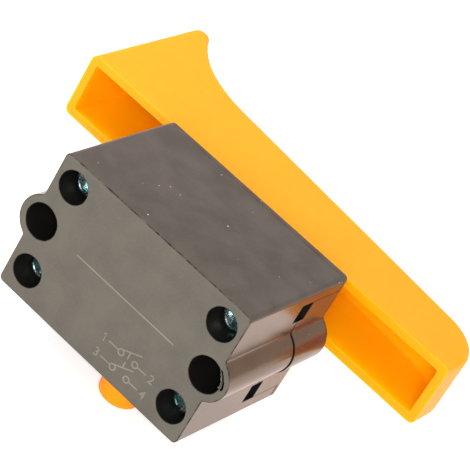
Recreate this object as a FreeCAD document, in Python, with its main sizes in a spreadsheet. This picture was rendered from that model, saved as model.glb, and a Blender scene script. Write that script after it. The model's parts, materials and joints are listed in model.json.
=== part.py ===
import FreeCAD, Part
import math
import os
import re
import Sketcher

# Trigger switch for a power tool: a two-pole switch box with screw terminals, a paddle trigger and a lock
# button.
# X runs along the box, Y from the label face (Y = 0) towards the trigger, Z up. Millimetres.

# Driving dimensions: name, value, what it is.
DRIVING_SIZES = [
    ("body_length", 44.0, "box, end to end along X"),
    ("body_width", 29.1, "box, side to side along Z"),
    ("body_depth", 31.4, "box, label face to back along Y"),
    ("front_wall", 2.0, "thickness of the label face"),
    ("side_wall", 1.6, "thickness of the other long wall and the short walls"),
    ("lock_wall", 2.2, "thickness of the long wall with the lock button"),
    ("back_wall", 1.7, "thickness of the base plate"),
    ("seam_depth", 20.0, "label face to the seam on the short ends"),
    ("end_panel_width", 23.1, "width of the base's panel in each short end"),
    ("corner_radius", 0.5, "rounding of the box's long corners"),
    ("mount_spacing", 40.0, "between the two mounting bores"),
    ("mount_bore", 6.6, "diameter of a mounting bore"),
    ("mount_boss", 9.7, "outer diameter of the boss round it"),
    ("boss_step", 0.2, "how far the base's half of a boss stands out past the cover's half"),
    ("boss_fillet", 0.9, "hollow rounding between a boss and the short wall"),
    ("cage_end_gap", 0.1, "clamp cage to the short wall"),
    ("cage_side_gap", 0.6, "clamp cage to the long wall"),
    ("well_gap", 0.2, "screw head to the wall of its well"),
    ("well_wall", 1.0, "wall of the tube round a well"),
    ("well_depth", 10.0, "label face to the bottom of a well"),
    ("screw_sink", 4.5, "screw head below the label face"),
    ("screw_head", 5.6, "diameter of the screw head"),
    ("screw_head_height", 2.4, "height of the screw head"),
    ("screw_shank", 3.5, "diameter of the screw shank"),
    ("screw_bite", 0.6, "how far the screw stands into the wire space"),
    ("driver_slot", 0.9, "width and depth of the slot in the screw head"),
    ("slot_height", 3.6, "wire entry along Y"),
    ("slot_width", 4.15, "wire entry along Z"),
    ("cage_floor", 1.0, "clamp cage, metal behind the wire"),
    ("cage_cheek", 0.7, "clamp cage, metal beside the wire"),
    ("strip", 0.8, "thickness of terminal strip"),
    ("strip_width", 4.4, "width of terminal strip"),
    ("fixed_tail", 8.0, "how far a fixed terminal's tail reaches inwards of its screw"),
    ("fit_gap", 0.05, "clearance of a close fit"),
    ("free_gap", 0.3, "clearance of a free fit"),
    ("trigger_travel", 7.0, "how far the trigger is pulled"),
    ("trigger_standoff", 11.4, "back of the box to the rim of the trigger"),
    ("trigger_left", 48.0, "middle of the box to the lipped end of the trigger, at its rim"),
    ("lip_lean", 0.3, "how far that end leans outwards up to the lip"),
    ("trigger_right", 43.15, "middle of the box to the rounded end of the trigger"),
    ("trigger_width", 13.8, "trigger along Z"),
    ("trigger_depth", 19.25, "rim to finger face at the middle of the box"),
    ("trigger_end_depth", 14.4, "rim to finger face, carried on to the rounded end"),
    ("trigger_wall", 1.65, "wall of the hollow trigger"),
    ("trigger_edge", 0.9, "chamfer on the outer edges of the trigger"),
    ("lip_reach", 36.1, "rim to the tip of the finger lip"),
    ("lip_radius", 2.1, "rounding of the lip's tip"),
    ("sweep_radius", 26.0, "hollow curve from the lip to the finger face"),
    ("end_radius", 10.0, "rounded end of the trigger"),
    ("stem_width", 9.0, "trigger stem along X"),
    ("stem_height", 5.8, "trigger stem along Z"),
    ("stem_seat", 4.6, "length of the stem in the slide"),
    ("rib_setback", 6.0, "rim of the trigger to the rib that ties the stem to its sides"),
    ("guide_rib", 2.0, "thickness of the ribs that guide the slide"),
    ("stem_pin", 2.0, "diameter of the cross pin in the stem"),
    ("slide_width", 20.4, "contact slide along X"),
    ("slide_height", 7.6, "contact slide along Z"),
    ("slide_run_out", 3.0, "slide to label wall with the trigger pulled"),
    ("coil", 5.2, "outer diameter of the return spring"),
    ("coil_wire", 0.7, "wire of the return spring"),
    ("coil_turns", 7.0, "turns of the return spring"),
    ("coil_seat", 1.5, "slide left between the spring and the stem"),
    ("spigot_length", 3.0, "spigot in the cover that centres the return spring"),
    ("pole_offset", 7.0, "middle of the box to the rockers, along X"),
    ("pin_shoulder", 3.6, "diameter of a contact pin in its bore"),
    ("pin_shoulder_height", 1.0, "height of that shoulder"),
    ("pin_shaft", 2.6, "diameter of a contact pin's shaft"),
    ("pin_nose", 1.0, "diameter and height of the pin's blunt nose"),
    ("pin_bore_floor", 0.6, "middle of the slide to the bottom of a pin bore"),
    ("pin_spring_height", 2.0, "height of a pin spring"),
    ("pin_turns", 3.0, "turns of a pin spring"),
    ("pin_wire", 0.4, "wire of a pin spring"),
    ("pin_gap", 0.2, "pin tip to rocker"),
    ("pin_setback", 3.35, "back of the slide to a contact pin"),
    ("hinge_lift", 2.8, "slide to a rocker's hinge, along Z"),
    ("rocker_sheet", 0.8, "thickness of a rocker"),
    ("rocker_width", 5.0, "width of a rocker"),
    ("rocker_front", 6.8, "hinge to the contact end of a rocker"),
    ("rocker_rear", 5.6, "hinge to the free end of a rocker"),
    ("rocker_swing", 16.0, "degrees between the two arms of a rocker, and of its swing"),
    ("hinge_lug", 1.2, "diameter of a rocker's hinge lugs"),
    ("ear_depth", 2.8, "hinge ear along Y"),
    ("contact", 2.8, "diameter of a contact tip"),
    ("contact_height", 0.7, "height of a contact tip"),
    ("contact_arm", 5.6, "hinge to the middle of a contact tip"),
    ("lock_x", 5.0, "lock button from the middle of the box"),
    ("lock_y", 9.0, "lock button from the label face"),
    ("lock_button", 8.1, "diameter of the lock button"),
    ("lock_reach", 7.55, "how far the lock button stands out"),
    ("lock_chamfer", 0.5, "chamfer round the lock button's end"),
    ("lock_travel", 3.0, "how far the lock button is pressed"),
    ("lock_collar", 0.8, "width and height of the collar inside the wall"),
    ("lock_neck", 2.0, "diameter of the lock button's neck"),
    ("lock_head", 3.0, "diameter of the hook at the end of the neck"),
    ("lock_head_height", 1.2, "height of that hook"),
    ("lock_head_gap", 0.4, "hook to slide with the button out"),
    ("lock_coil", 6.4, "outer diameter of the lock spring"),
    ("lock_wire", 0.5, "wire of the lock spring"),
    ("lock_turns", 2.5, "turns of the lock spring"),
    ("catch_plate", 1.2, "slide wall that the hook catches behind"),
    ("fork_sheet", 1.4, "thickness of the fork that backs the lock spring"),
]

# Places worked out from the driving dimensions.
WORKED_OUT = [
    ("half_length", "body_length / 2"),
    ("half_panel", "end_panel_width / 2"),
    ("inner_length", "half_length - side_wall"),
    ("inner_width", "(body_width - side_wall - lock_wall) / 2"),
    ("upper_side", "inner_width + side_wall"),
    ("lower_side", "inner_width + lock_wall"),
    ("plate_front", "body_depth - back_wall"),
    ("mount_x", "mount_spacing / 2"),
    ("mount_radius", "mount_bore / 2"),
    ("boss_radius", "mount_boss / 2"),
    ("base_boss", "boss_radius + boss_step"),
    ("boss_side", "sqrt(boss_radius ^ 2 - (half_length - mount_x) ^ 2)"),
    ("base_boss_side", "sqrt(base_boss ^ 2 - (half_length - mount_x) ^ 2)"),
    ("wire_half", "screw_shank / 2 + fit_gap"),
    ("cage_half", "wire_half + cage_cheek"),
    ("terminal_x", "inner_length - cage_end_gap - cage_half"),
    ("terminal_z", "inner_width - cage_side_gap - cage_half"),
    ("well_radius", "screw_head / 2 + well_gap"),
    ("tube_radius", "well_radius + well_wall"),
    ("slot_front", "seam_depth - slot_height / 2"),
    ("slot_back", "seam_depth + slot_height / 2"),
    ("slot_inner", "half_panel - slot_width"),
    ("cage_back", "slot_back + cage_floor"),
    ("tail_front", "slot_back - strip"),
    ("tail_half", "wire_half - fit_gap"),
    ("strip_inner", "inner_width - strip"),
    ("tail_outer_x", "terminal_x + cage_half - free_gap"),
    ("cage_inner_x", "terminal_x - cage_half"),
    ("cage_outer_x", "terminal_x + cage_half"),
    ("strip_turn_x", "cage_inner_x - free_gap"),
    ("slide_back", "plate_front - fit_gap"),
    ("pin_y", "slide_back - pin_setback"),
    ("hinge_y", "pin_y - trigger_travel / 2"),
    ("slide_half", "slide_width / 2"),
    ("slide_top", "slide_height / 2"),
    ("hinge_height", "slide_top + hinge_lift"),
    ("lug_radius", "hinge_lug / 2"),
    ("ear_notch", "lug_radius + fit_gap"),
    ("rocker_half", "rocker_width / 2"),
    ("sheet_half", "rocker_sheet / 2"),
    ("ear_inner", "rocker_half + free_gap"),
    ("ear_outer", "ear_inner + strip"),
    ("rocker_left", "-pole_offset - rocker_half"),
    ("rocker_right", "rocker_half - pole_offset"),
    ("lug_left", "-pole_offset - ear_outer + fit_gap"),
    ("lug_right", "ear_outer - pole_offset - fit_gap"),
    ("left_ear_outer", "-pole_offset - ear_outer"),
    ("left_ear_inner", "-pole_offset - ear_inner"),
    ("right_ear_inner", "ear_inner - pole_offset"),
    ("right_ear_outer", "ear_outer - pole_offset"),
    ("contact_y", "hinge_y - contact_arm"),
    ("contact_face", "hinge_height + sheet_half + contact_height + fit_gap"),
    ("landing", "contact_face + contact_height"),
    ("landing_front", "contact_y - strip_width / 2"),
    ("landing_back", "contact_y + strip_width / 2"),
    ("fixed_turn_x", "terminal_x - fixed_tail"),
    ("riser_left", "rocker_right"),
    ("riser_right", "rocker_right + strip"),
    ("lock_clear_y", "lock_y + lock_head / 2 + free_gap"),
    ("slide_front", "max(front_wall + trigger_travel + slide_run_out; lock_clear_y)"),
    ("stem_half", "stem_width / 2"),
    ("stem_top", "stem_height / 2"),
    ("socket_floor", "slide_back - stem_seat"),
    ("stem_end", "socket_floor + fit_gap"),
    ("stem_pin_y", "slide_back - stem_seat / 2"),
    ("coil_radius", "coil / 2"),
    ("coil_end", "socket_floor - coil_seat"),
    ("spigot_radius", "coil_radius - coil_wire - free_gap"),
    ("pin_radius", "pin_shoulder / 2"),
    ("pin_bore", "pin_radius + fit_gap"),
    ("shaft_radius", "pin_shaft / 2"),
    ("pin_base", "pin_bore_floor + pin_spring_height"),
    ("pin_end", "hinge_height - sheet_half - pin_gap"),
    ("nose_base", "pin_end - pin_nose"),
    ("rim_y", "body_depth + trigger_standoff"),
    ("finger_mid", "rim_y + trigger_depth"),
    ("finger_end", "rim_y + trigger_end_depth"),
    ("lip_tip", "rim_y + lip_reach"),
    ("lip_left", "trigger_left + lip_lean"),
    ("trigger_half", "trigger_width / 2"),
    ("lock_radius", "lock_button / 2"),
    ("lock_end", "lower_side + lock_reach"),
    ("collar_radius", "lock_radius + lock_collar"),
    ("collar_top", "inner_width - lock_collar"),
    ("head_top", "slide_top + lock_head_gap"),
    ("head_base", "head_top + lock_head_height"),
    ("neck_radius", "lock_neck / 2"),
    ("head_radius", "lock_head / 2"),
    ("fork_top", "head_base + free_gap"),
    ("fork_base", "fork_top + fork_sheet"),
    ("fork_half", "lock_coil / 2 + free_gap"),
    ("fork_front", "lock_y - lock_coil / 2"),
    ("fork_slot", "neck_radius + free_gap"),
    ("keyhole_y", "lock_y + trigger_travel"),
    ("keyhole_radius", "head_radius + free_gap"),
    ("catch_top", "slide_top - catch_plate"),
    ("hook_room", "head_top - lock_travel - free_gap"),
    ("hook_half", "head_radius + free_gap"),
    ("run_front", "max(landing_front; lock_y + collar_radius + free_gap)"),
    ("leg_front", "min(tail_front; landing_back)"),
    ("leg_back", "max(slot_back; landing_back + strip)"),
    ("rib_half", "trigger_half - trigger_wall / 2"),
    ("guide_x", "slide_half + free_gap"),
    ("ear_front", "hinge_y - ear_depth / 2"),
    ("ear_back", "hinge_y + ear_depth / 2"),
    ("ear_end", "hinge_height - lug_radius / 2"),
    ("tail_low", "terminal_z - tail_half"),
    ("tail_high", "terminal_z + tail_half"),
    ("swing_cos", "cos(rocker_swing)"),
    ("swing_sin", "sin(rocker_swing)"),
    ("apex_shift", "sheet_half * tan(rocker_swing / 2)"),
    ("wall_middle", "finger_mid - trigger_wall / 2"),
    ("rib_front", "rim_y + rib_setback"),
]

doc = FreeCAD.newDocument("trigger_switch")
sheet = doc.addObject("Spreadsheet::Sheet", "Sizes")
cells = [(alias, str(value), note) for alias, value, note in DRIVING_SIZES]
cells += [(alias, "=" + formula, "worked out") for alias, formula in WORKED_OUT]
for row, (alias, text, note) in enumerate(cells, start=1):
    sheet.set(f"A{row}", note)
    sheet.set(f"B{row}", text)
    sheet.setAlias(f"B{row}", alias)
doc.recompute()
ALIASES = {alias for alias, text, note in cells}
BOTH_SIDES = ("", "-1 * ")
SAME_PLACE = 0.001    # two heights closer than this are one height
WIRE_SIDES = 6        # sides of spring wire
TURN_STEPS = 10       # straight runs in one turn of a spring
RIGHT_CORNERS = 1     # runs of a sweep meet in mitres


def size(alias):
    """The value of a cell of the sheet."""
    return float(sheet.get(alias))


def bind(thing, prop, expression):
    """Ties a property to an expression whose words are cells of the sheet."""
    def full_name(word):
        return "Sizes." + word.group() if word.group() in ALIASES else word.group()
    thing.setExpression(prop, re.sub(r"[a-z_]+", full_name, expression))


def new_body(label):
    body = doc.addObject("PartDesign::Body", label)
    body.Label = label
    return body


def sketch_on(body, plane, offset, name):
    """A sketch on one of the body's own planes, moved along the plane's axis to offset."""
    sketch = body.newObject("Sketcher::SketchObject", name)
    support = next(f for f in body.Origin.OriginFeatures if f.Role == plane + "_Plane")
    sketch.AttachmentSupport = [(support, "")]
    sketch.MapMode = "FlatFace"
    sign = "-1 * " if plane == "XZ" else ""
    bind(sketch, "AttachmentOffset.Base.z", f"{sign}({offset})")
    return sketch


def hold(sketch, kind, *where):
    """Adds a dimension to a sketch, its last word an expression."""
    value = float(sheet.evalExpression(where[-1]))
    index = sketch.addConstraint(Sketcher.Constraint(kind, *where[:-1], value))
    bind(sketch, f"Constraints[{index}]", where[-1])


def hold_point(sketch, geometry, point, x, y):
    """Holds one point of a sketch at expressions x and y from the sketch's origin."""
    hold(sketch, "DistanceX", -1, 1, geometry, point, x)
    hold(sketch, "DistanceY", -1, 1, geometry, point, y)


def on_ring(radius, turn, height=0.0):
    """A point at a share of a turn round the Z axis."""
    return FreeCAD.Vector(radius * math.cos(math.tau * turn), radius * math.sin(math.tau * turn), height)


def outline(*points):
    """A closed polygon through points given as pairs of expressions."""
    def draw(sketch):
        count = len(points)
        ring = [on_ring(1.0, i / count) for i in range(count)]
        lines = [sketch.addGeometry(Part.LineSegment(ring[i - 1], ring[i]), False) for i in range(count)]
        for i in range(count):
            sketch.addConstraint(Sketcher.Constraint("Coincident", lines[i - 1], 2, lines[i], 1))
        for line, (x, y) in zip(lines, points):
            hold_point(sketch, line, 1, x, y)
    return draw


def rectangle(left, right, low, high):
    return outline((left, low), (right, low), (right, high), (left, high))


def circle(x, y, radius):
    def draw(sketch):
        ring = Part.Circle(FreeCAD.Vector(0, 0, 0), FreeCAD.Vector(0, 0, 1), 1)
        geometry = sketch.addGeometry(ring, False)
        hold(sketch, "Radius", geometry, radius)
        hold_point(sketch, geometry, 3, x, y)
    return draw


def end_circles(x, radius):
    """One circle at each end of the box."""
    return [circle(end + x, "0", radius) for end in BOTH_SIDES]


def corner_circles(x, y, radius):
    """One circle in each corner of the box."""
    return [circle(end + x, side + y, radius) for end in BOTH_SIDES for side in BOTH_SIDES]


def feature(body, kind, name, plane, start, end, shapes):
    """Adds or cuts material between two heights along the plane's axis."""
    before = body.Shape.Volume if body.Tip else 0.0
    sketch = sketch_on(body, plane, start, f"{body.Label}_{name}_sketch")
    for draw in shapes:
        draw(sketch)
    step = body.newObject("PartDesign::" + kind, f"{body.Label}_{name}")
    step.Profile = sketch
    bind(step, "Length", f"({end}) - ({start})")
    along_normal = plane != "XZ"
    step.Reversed = along_normal if kind == "Pocket" else not along_normal
    doc.recompute()
    change = body.Shape.Volume - before
    if (change >= 0.0) == (kind == "Pocket"):
        raise RuntimeError(f"{body.Label}: {name} changed the volume by {change:.3f}")
    return step


def add(body, name, plane, start, end, *shapes):
    return feature(body, "Pad", name, plane, start, end, shapes)


def cut(body, name, plane, start, end, *shapes):
    return feature(body, "Pocket", name, plane, start, end, shapes)


def trim_edges(body, kind, amount, wanted):
    """Rounds or chamfers the edges of the body's last feature that wanted() picks."""
    last = body.Tip
    names = [f"Edge{i}" for i, edge in enumerate(last.Shape.Edges, start=1) if wanted(edge)]
    step = body.newObject("PartDesign::" + kind, f"{body.Label}_{kind.lower()}")
    step.Base = (last, names)
    bind(step, "Size" if kind == "Chamfer" else "Radius", amount)
    doc.recompute()


def near(value, alias):
    return abs(abs(value) - size(alias)) < SAME_PLACE


def at_end(*sides):
    """Picks the edges along Y that lie in a short end of the box, at one of these heights."""
    def wanted(edge):
        middle = edge.CenterOfMass
        return near(middle.x, "half_length") and any(near(middle.z, side) for side in sides)
    return wanted


def mirrored(source, label, normal):
    """A mirror image of a piece about the middle of the box."""
    image = doc.addObject("Part::Mirroring", label)
    image.Label = label
    image.Source = source
    image.Normal = normal
    return image


def in_four_corners(source, label):
    """One node of four like solids, one in each corner of the box."""
    left = mirrored(source, label + "_left", FreeCAD.Vector(1, 0, 0))
    low = [mirrored(piece, piece.Label + "_low", FreeCAD.Vector(0, 0, 1)) for piece in (source, left)]
    group = doc.addObject("Part::Compound", label)
    group.Label = label
    group.Links = [source, left, *low]
    return group


def cylinder(label, radius, height, x, y, z):
    """A cylinder standing on a point, along Z."""
    solid = doc.addObject("Part::Cylinder", label)
    solid.Label = label
    bind(solid, "Radius", radius)
    bind(solid, "Height", height)
    place(solid, x, y, z)
    return solid


def place(solid, x, y, z):
    for axis, expression in zip("xyz", (x, y, z)):
        bind(solid, f"Placement.Base.{axis}", expression)


def coil_spring(label, diameter, wire, turns, length, base, turned):
    """A coil spring from base along Z, turned there, with each turn drawn as a ring of straight runs."""
    radius = (size(diameter) - size(wire)) / 2
    thick = size(wire) / 2
    steps = round(size(turns) * TURN_STEPS)
    rise = (length - 2 * thick) / steps
    path = Part.makePolygon([on_ring(radius, i / TURN_STEPS, thick + rise * i) for i in range(steps + 1)])
    section = Part.makePolygon([on_ring(thick, (i + 0.5) / WIRE_SIDES) for i in range(WIRE_SIDES + 1)])
    upright = FreeCAD.Rotation(FreeCAD.Vector(1, 0, 0), 90)
    section.Placement = FreeCAD.Placement(path.Vertexes[0].Point, upright)
    spring = doc.addObject("Part::Feature", label)
    spring.Label = label
    spring.Shape = path.makePipeShell([section], True, False, RIGHT_CORNERS)
    spring.Placement = FreeCAD.Placement(FreeCAD.Vector(*base), turned)
    return spring


# Front cover: label face, long walls, screw wells and the front half of each mounting boss.
cover = new_body("front_cover")
add(cover, "block", "XZ", "0", "plate_front",
    rectangle("-half_length", "half_length", "-lower_side", "upper_side"))
trim_edges(cover, "Fillet", "corner_radius", at_end("upper_side", "lower_side"))
cut(cover, "inside", "XZ", "front_wall", "plate_front",
    rectangle("-inner_length", "inner_length", "-inner_width", "inner_width"))
add(cover, "bosses", "XZ", "0", "seam_depth", *end_circles("mount_x", "boss_radius"))
trim_edges(cover, "Fillet", "boss_fillet", at_end("boss_side"))
add(cover, "tubes", "XZ", "0", "well_depth", *corner_circles("terminal_x", "terminal_z", "tube_radius"))
add(cover, "guides", "XZ", "front_wall", "seam_depth",
    rectangle("guide_x", "mount_x - mount_radius", "-guide_rib / 2", "guide_rib / 2"),
    rectangle("mount_radius - mount_x", "-guide_x", "-guide_rib / 2", "guide_rib / 2"))
add(cover, "spigot", "XZ", "front_wall", "front_wall + spigot_length", circle("0", "0", "spigot_radius"))
cut(cover, "mounting", "XZ", "0", "seam_depth", *end_circles("mount_x", "mount_radius"))
cut(cover, "wells", "XZ", "0", "well_depth", *corner_circles("terminal_x", "terminal_z", "well_radius"))
cut(cover, "end_openings", "YZ", "-half_length", "half_length",
    rectangle("seam_depth", "plate_front", "-half_panel", "half_panel"))
cut(cover, "wire_entries", "YZ", "-half_length", "half_length",
    rectangle("slot_front", "seam_depth", "slot_inner", "half_panel"),
    rectangle("slot_front", "seam_depth", "-half_panel", "-slot_inner"))
cut(cover, "lock_hole", "XY", "-lower_side", "-inner_width",
    circle("lock_x", "lock_y", "lock_radius + fit_gap"))

# Base: back plate with the end panels, the back half of each boss, and posts and a fork behind the inner
# parts.
base = new_body("base")
add(base, "plate", "XZ", "plate_front", "body_depth",
    rectangle("-half_length", "half_length", "-lower_side", "upper_side"))
trim_edges(base, "Fillet", "corner_radius", at_end("upper_side", "lower_side"))
add(base, "bosses", "XZ", "seam_depth", "body_depth", *end_circles("mount_x", "base_boss"))
add(base, "end_panels", "XZ", "seam_depth", "plate_front",
    rectangle("inner_length", "half_length", "-half_panel", "half_panel"),
    rectangle("-half_length", "-inner_length", "-half_panel", "half_panel"))
trim_edges(base, "Fillet", "boss_fillet", at_end("base_boss_side"))
cut(base, "wire_entries", "YZ", "-half_length", "half_length",
    rectangle("seam_depth", "slot_back", "slot_inner", "half_panel"),
    rectangle("seam_depth", "slot_back", "-half_panel", "-slot_inner"))
add(base, "tail_posts", "XZ", "slot_back", "plate_front",
    rectangle("fixed_turn_x", "strip_turn_x", "tail_low", "tail_high"),
    rectangle("fixed_turn_x", "strip_turn_x", "-tail_high", "-tail_low"),
    rectangle("-strip_turn_x", "left_ear_outer - free_gap", "tail_low", "tail_high"),
    rectangle("-strip_turn_x", "left_ear_outer - free_gap", "-tail_high", "-tail_low"))
add(base, "cage_posts", "XZ", "cage_back", "plate_front",
    rectangle("strip_turn_x", "inner_length", "tail_low", "tail_high"),
    rectangle("strip_turn_x", "inner_length", "-tail_high", "-tail_low"),
    rectangle("-inner_length", "-strip_turn_x", "tail_low", "tail_high"),
    rectangle("-inner_length", "-strip_turn_x", "-tail_high", "-tail_low"))
add(base, "fork", "XY", "-fork_base", "-fork_top",
    rectangle("lock_x - fork_half", "lock_x + fork_half", "fork_front", "plate_front"))
cut(base, "fork_slot", "XY", "-fork_base", "-fork_top",
    rectangle("lock_x - fork_slot", "lock_x + fork_slot", "fork_front", "lock_y + fork_slot"))
cut(base, "mounting", "XZ", "seam_depth", "body_depth", *end_circles("mount_x", "mount_radius"))
cut(base, "stem_window", "XZ", "plate_front", "body_depth",
    rectangle("-stem_half - free_gap", "stem_half + free_gap", "-stem_top - free_gap", "stem_top + free_gap"))


def trigger_outline(sketch):
    """Side view of the trigger: lip, hollow sweep, straight finger face, rounded end and rim."""
    left, right, rim = -size("trigger_left"), size("trigger_right"), size("rim_y")
    tip, middle, end = size("lip_tip"), size("finger_mid"), size("finger_end")
    lip, sweep, corner = size("lip_radius"), size("sweep_radius"), size("end_radius")
    slope = math.atan2(end - middle, right)
    across = FreeCAD.Vector(-math.sin(slope), math.cos(slope), 0)
    lip_centre = FreeCAD.Vector(lip - size("lip_left"), tip - lip, 0)
    face = FreeCAD.Vector(0, middle, 0)
    rise = sweep - (lip_centre - face).dot(across)
    run = math.sqrt((sweep + lip) ** 2 - rise ** 2)
    along = FreeCAD.Vector(math.cos(slope), math.sin(slope), 0)
    foot = face + along * ((lip_centre - face).dot(along) + run)
    sweep_centre = foot + across * sweep
    to_lip = (sweep_centre - lip_centre).normalize()
    join = lip_centre + to_lip * lip
    corner_reach = (right - corner + across.x * corner) / along.x
    corner_foot = face + along * corner_reach
    corner_centre = corner_foot - across * corner
    lip_end = math.atan2(to_lip.y, to_lip.x)
    lip_start = math.pi - math.atan2(size("lip_lean"), tip - lip - rim)
    lip_foot = lip_centre + FreeCAD.Vector(math.cos(lip_start), math.sin(lip_start), 0) * lip
    up = FreeCAD.Vector(0, 0, 1)
    sweep_start = math.atan2(-to_lip.y, -to_lip.x)
    sweep_end = math.atan2(-across.y, -across.x)
    if sweep_end < sweep_start:
        sweep_end += math.tau
    pieces = [
        Part.LineSegment(FreeCAD.Vector(left, rim, 0), lip_foot),
        Part.ArcOfCircle(Part.Circle(lip_centre, up, lip), lip_end, lip_start),
        Part.ArcOfCircle(Part.Circle(sweep_centre, up, sweep), sweep_start, sweep_end),
        Part.LineSegment(foot, corner_foot),
        Part.ArcOfCircle(Part.Circle(corner_centre, up, corner), 0, math.atan2(across.y, across.x)),
        Part.LineSegment(FreeCAD.Vector(right, corner_centre.y, 0), FreeCAD.Vector(right, rim, 0)),
        Part.LineSegment(FreeCAD.Vector(right, rim, 0), FreeCAD.Vector(left, rim, 0)),
    ]
    left_end, lip_arc, sweep_arc, finger, corner_arc, right_end, rim_line = (
        sketch.addGeometry(piece, False) for piece in pieces)
    on_finger = ((0, middle), (right, end))
    marks = [sketch.addGeometry(Part.Point(FreeCAD.Vector(x, y, 0)), True) for x, y in on_finger]
    for first, first_point, second, second_point in (
            (left_end, 2, lip_arc, 2), (lip_arc, 1, sweep_arc, 1), (sweep_arc, 2, finger, 1),
            (finger, 2, corner_arc, 2), (corner_arc, 1, right_end, 1)):
        sketch.addConstraint(Sketcher.Constraint("Tangent", first, first_point, second, second_point))
    sketch.addConstraint(Sketcher.Constraint("Coincident", right_end, 2, rim_line, 1))
    sketch.addConstraint(Sketcher.Constraint("Coincident", rim_line, 2, left_end, 1))
    sketch.addConstraint(Sketcher.Constraint("Vertical", right_end))
    hold_point(sketch, left_end, 1, "-trigger_left", "rim_y")
    hold_point(sketch, right_end, 2, "trigger_right", "rim_y")
    hold(sketch, "Radius", lip_arc, "lip_radius")
    hold(sketch, "Radius", sweep_arc, "sweep_radius")
    hold(sketch, "Radius", corner_arc, "end_radius")
    hold_point(sketch, lip_arc, 3, "lip_radius - lip_left", "lip_tip - lip_radius")
    hold_point(sketch, marks[0], 1, "0", "finger_mid")
    hold_point(sketch, marks[1], 1, "trigger_right", "finger_end")
    for mark in marks:
        sketch.addConstraint(Sketcher.Constraint("PointOnObject", mark, 1, finger))


# Trigger: a hollow paddle open towards the box, with a stem that reaches into the box.
trigger = new_body("trigger")
paddle = add(trigger, "paddle", "XY", "-trigger_half", "trigger_half", trigger_outline)
rim_face = next(f"Face{i}" for i, face in enumerate(paddle.Shape.Faces, start=1)
                if near(face.CenterOfMass.y, "rim_y"))
hollow = trigger.newObject("PartDesign::Thickness", "trigger_hollow")
hollow.Base = (paddle, [rim_face])
bind(hollow, "Value", "trigger_wall")
hollow.Reversed = True
doc.recompute()
trim_edges(trigger, "Chamfer", "trigger_edge", lambda edge: near(edge.BoundBox.ZMin, "trigger_half")
           and near(edge.BoundBox.ZMax, "trigger_half") and edge.BoundBox.ZLength < SAME_PLACE
           and edge.CenterOfMass.y > size("rim_y") + SAME_PLACE)
add(trigger, "stem", "XY", "-stem_top", "stem_top",
    rectangle("-stem_half", "stem_half", "stem_end", "wall_middle"))
add(trigger, "rib", "YZ", "-trigger_wall / 2", "trigger_wall / 2",
    rectangle("rib_front", "wall_middle", "-rib_half", "rib_half"))
cut(trigger, "pin_hole", "XY", "-stem_top", "stem_top", circle("0", "stem_pin_y", "stem_pin / 2 + fit_gap"))

# Contact slide: moved by the stem, it carries the contact pins and the catch for the lock button.
slide = new_body("contact_slide")
add(slide, "block", "XZ", "slide_front", "slide_back",
    rectangle("-slide_half", "slide_half", "-slide_top", "slide_top"))
cut(slide, "spring_bore", "XZ", "slide_front", "coil_end", circle("0", "0", "coil_radius + free_gap"))
cut(slide, "stem_socket", "XZ", "socket_floor", "slide_back",
    rectangle("-stem_half - fit_gap", "stem_half + fit_gap", "-stem_top - fit_gap", "stem_top + fit_gap"))
cut(slide, "upper_pin_bore", "XY", "pin_bore_floor", "slide_top",
    circle("-pole_offset", "pin_y", "pin_bore"))
cut(slide, "lower_pin_bore", "XY", "-slide_top", "-pin_bore_floor",
    circle("-pole_offset", "pin_y", "pin_bore"))
cut(slide, "cross_hole", "XY", "-slide_top", "slide_top", circle("0", "stem_pin_y", "stem_pin / 2 + fit_gap"))
cut(slide, "keyhole", "XY", "-slide_top", "-catch_top", circle("lock_x", "keyhole_y", "keyhole_radius"))
cut(slide, "keyhole_slot", "XY", "-slide_top", "-catch_top",
    rectangle("lock_x - fork_slot", "lock_x + fork_slot",
              "keyhole_y - keyhole_radius - neck_radius", "keyhole_y"))
cut(slide, "hook_room", "XY", "-catch_top", "-hook_room",
    rectangle("lock_x - hook_half", "lock_x + hook_half", "slide_front", "keyhole_y + keyhole_radius"))

stem_pin = cylinder("stem_pin", "stem_pin / 2", "slide_height", "0", "stem_pin_y", "-slide_top")

return_spring = coil_spring(
    "return_spring", "coil", "coil_wire", "coil_turns", size("coil_end") - size("front_wall"),
    (0, size("front_wall"), 0), FreeCAD.Rotation(FreeCAD.Vector(1, 0, 0), -90))

# Contact pins: pushed out of the slide by their springs, they tip the rockers over as the slide moves.
pin_parts = [
    cylinder("pin_shoulder_part", "pin_radius", "pin_shoulder_height", "-pole_offset", "pin_y", "pin_base"),
    cylinder("pin_shaft_part", "shaft_radius", "nose_base - pin_base", "-pole_offset", "pin_y", "pin_base"),
]
nose = doc.addObject("Part::Cone", "pin_nose_part")
bind(nose, "Radius1", "shaft_radius")
bind(nose, "Radius2", "pin_nose / 2")
bind(nose, "Height", "pin_nose")
place(nose, "-pole_offset", "pin_y", "nose_base")
upper_pin = doc.addObject("Part::MultiFuse", "upper_contact_pin")
upper_pin.Shapes = [*pin_parts, nose]
upper_pin_spring = coil_spring(
    "upper_pin_spring", "pin_shaft", "pin_wire", "pin_turns", size("pin_spring_height"),
    (-size("pole_offset"), size("pin_y"), size("pin_bore_floor")), FreeCAD.Rotation())

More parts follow.
